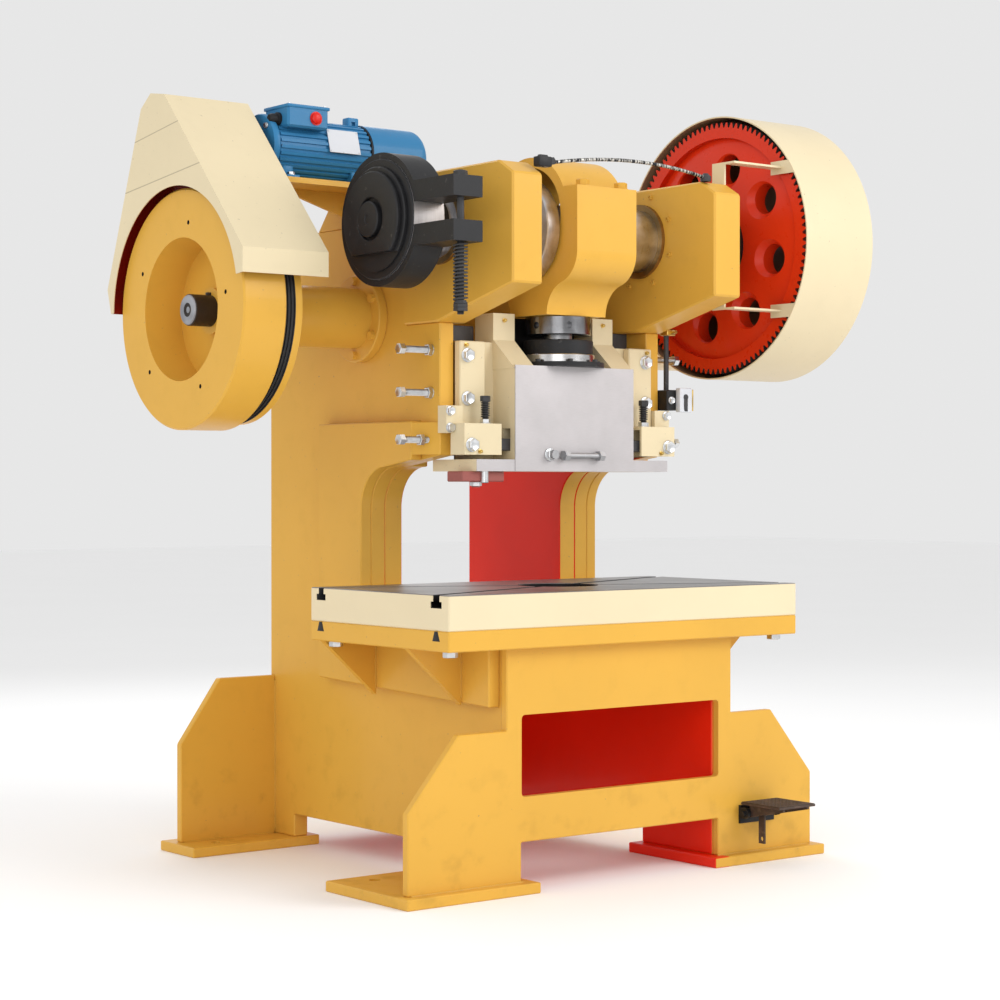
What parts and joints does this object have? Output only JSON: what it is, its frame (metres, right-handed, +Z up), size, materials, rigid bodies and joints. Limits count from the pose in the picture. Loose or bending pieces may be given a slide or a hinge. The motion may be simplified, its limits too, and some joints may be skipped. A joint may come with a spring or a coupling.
{
  "type": "mechanical stamping press",
  "caption": "Open-back geared crank press with a wide slotted table, a guided ram, a side flywheel and motor drive, guards, a band brake and a foot pedal.",
  "frame": {"origin": "centre of the four foundation bolt holes, at floor level", "axes": "+Z up, -Y towards the operator's side with the ram and table, +X towards the operator's right, the gear side"},
  "size_m": [1.975, 1.446, 2.274],
  "materials": {
    "frame_yellow": "gloss machine enamel, orange yellow",
    "inner_red": "gloss machine enamel, red inside faces",
    "cream": "gloss machine enamel, cream",
    "motor_blue": "gloss machine enamel, blue",
    "black_paint": "satin black enamel",
    "ground_steel": "ground, lightly oiled",
    "machined_steel": "turned and milled",
    "bright_steel": "zinc plated",
    "dark_steel": "blackened",
    "nut_chrome": "polished",
    "cast_grey": "machined casting",
    "bronze": "bearing bronze",
    "brass": "turned brass",
    "belt_rubber": "matt rubber"
  },
  "bodies": {
    "frame": {"side_plate_left": "frame_yellow", "side_plate_right": "frame_yellow", "head_cheek_left": "frame_yellow", "head_cheek_right": "frame_yellow", "throat_doublers": "frame_yellow", "throat_liners": "inner_red", "front_plate": "frame_yellow", "rear_leg_plates": "frame_yellow", "foot_plates": "frame_yellow", "crown_plate": "inner_red", "lower_back_plate": "inner_red", "bed_plate": "frame_yellow", "bed_gussets": "frame_yellow", "bolster_plate": "ground_steel", "bolster_bolts": "bright_steel", "crank_bushes": "bronze", "brake_band": "black_paint", "brake_bolt": "bright_steel", "v_belts": "belt_rubber", "motor_bracket": "frame_yellow", "motor_housing": "motor_blue", "motor_fan_cover": "motor_blue", "terminal_box": "motor_blue", "shaft_housing_left": "frame_yellow", "shaft_housing_right": "inner_red", "flywheel_guard": "cream", "gear_guard": "cream", "guard_straps": "cream", "guide_blocks": "machined_steel", "gib_bars": "bronze", "gib_keepers": "cream", "keeper_bolts": "bright_steel", "gib_screws": "bright_steel", "knockout_stops": "cream", "knockout_screws": "bright_steel", "oil_line": "bright_steel", "trip_bracket": "cream", "pedal_bracket": "black_paint"},
    "crank": {"crankshaft": "machined_steel", "clutch_collar": "black_paint", "brake_drum": "black_paint"},
    "gear": {"main_gear": "inner_red"},
    "flywheel_shaft": {"back_shaft": "machined_steel", "flywheel": "frame_yellow", "pinion": "machined_steel"},
    "motor_rotor": {"motor_shaft": "machined_steel", "motor_pulley": "cast_grey"},
    "ram": {"slide": "machined_steel", "ball_cap": "black_paint", "shank_clamp": "bright_steel", "die_clamp": "ground_steel"},
    "connecting_rod": {"pitman": "frame_yellow", "pitman_cap": "frame_yellow", "cap_bolts": "bright_steel", "ball_screw": "machined_steel", "adjusting_nut": "nut_chrome"},
    "knockout": {"knockout_bar": "dark_steel"},
    "trip": {"trip_rod": "dark_steel", "trip_lever": "brass"},
    "pedal": {"pedal": "black_paint"}
  },
  "joints": [
    {"name": "crank_spin", "type": "hinge", "parent": "frame", "child": "crank", "pos_m": [0, -0.41, 1.865], "axis": [1, 0, 0], "continuous": true},
    {"name": "gear_spin", "type": "hinge", "parent": "frame", "child": "gear", "pos_m": [0, -0.41, 1.865], "axis": [1, 0, 0], "continuous": true},
    {"name": "flywheel_spin", "type": "hinge", "parent": "frame", "child": "flywheel_shaft", "pos_m": [0, -0.001, 1.6215], "axis": [1, 0, 0], "continuous": true},
    {"name": "motor_spin", "type": "hinge", "parent": "frame", "child": "motor_rotor", "pos_m": [-0.8, 0.043, 2.11], "axis": [1, 0, 0], "continuous": true},
    {"name": "ram_stroke", "type": "slide", "parent": "frame", "child": "ram", "axis": [0, 0, 1], "range_m": [-0.08, 0]},
    {"name": "rod_swing", "type": "hinge", "parent": "ram", "child": "connecting_rod", "pos_m": [0, -0.41, 1.44], "axis": [1, 0, 0], "range_deg": [-4.9, 4.9]},
    {"name": "knockout_lift", "type": "slide", "parent": "ram", "child": "knockout", "axis": [0, 0, 1], "range_m": [0, 0.028]},
    {"name": "trip_slide", "type": "slide", "parent": "frame", "child": "trip", "axis": [0, 0, 1], "range_m": [-0.012, 0]},
    {"name": "pedal_press", "type": "hinge", "parent": "frame", "child": "pedal", "pos_m": [0.525, -0.729, 0.15], "axis": [1, 0, 0], "range_deg": [0, 12], "stiffness_Nm_per_rad": 40, "springref_deg": -20.05}
  ],
  "couplings": [
    {"joint": "flywheel_spin", "follows": "gear_spin", "ratio": -4.2308},
    {"joint": "motor_spin", "follows": "gear_spin", "ratio": -23.571}
  ]
}
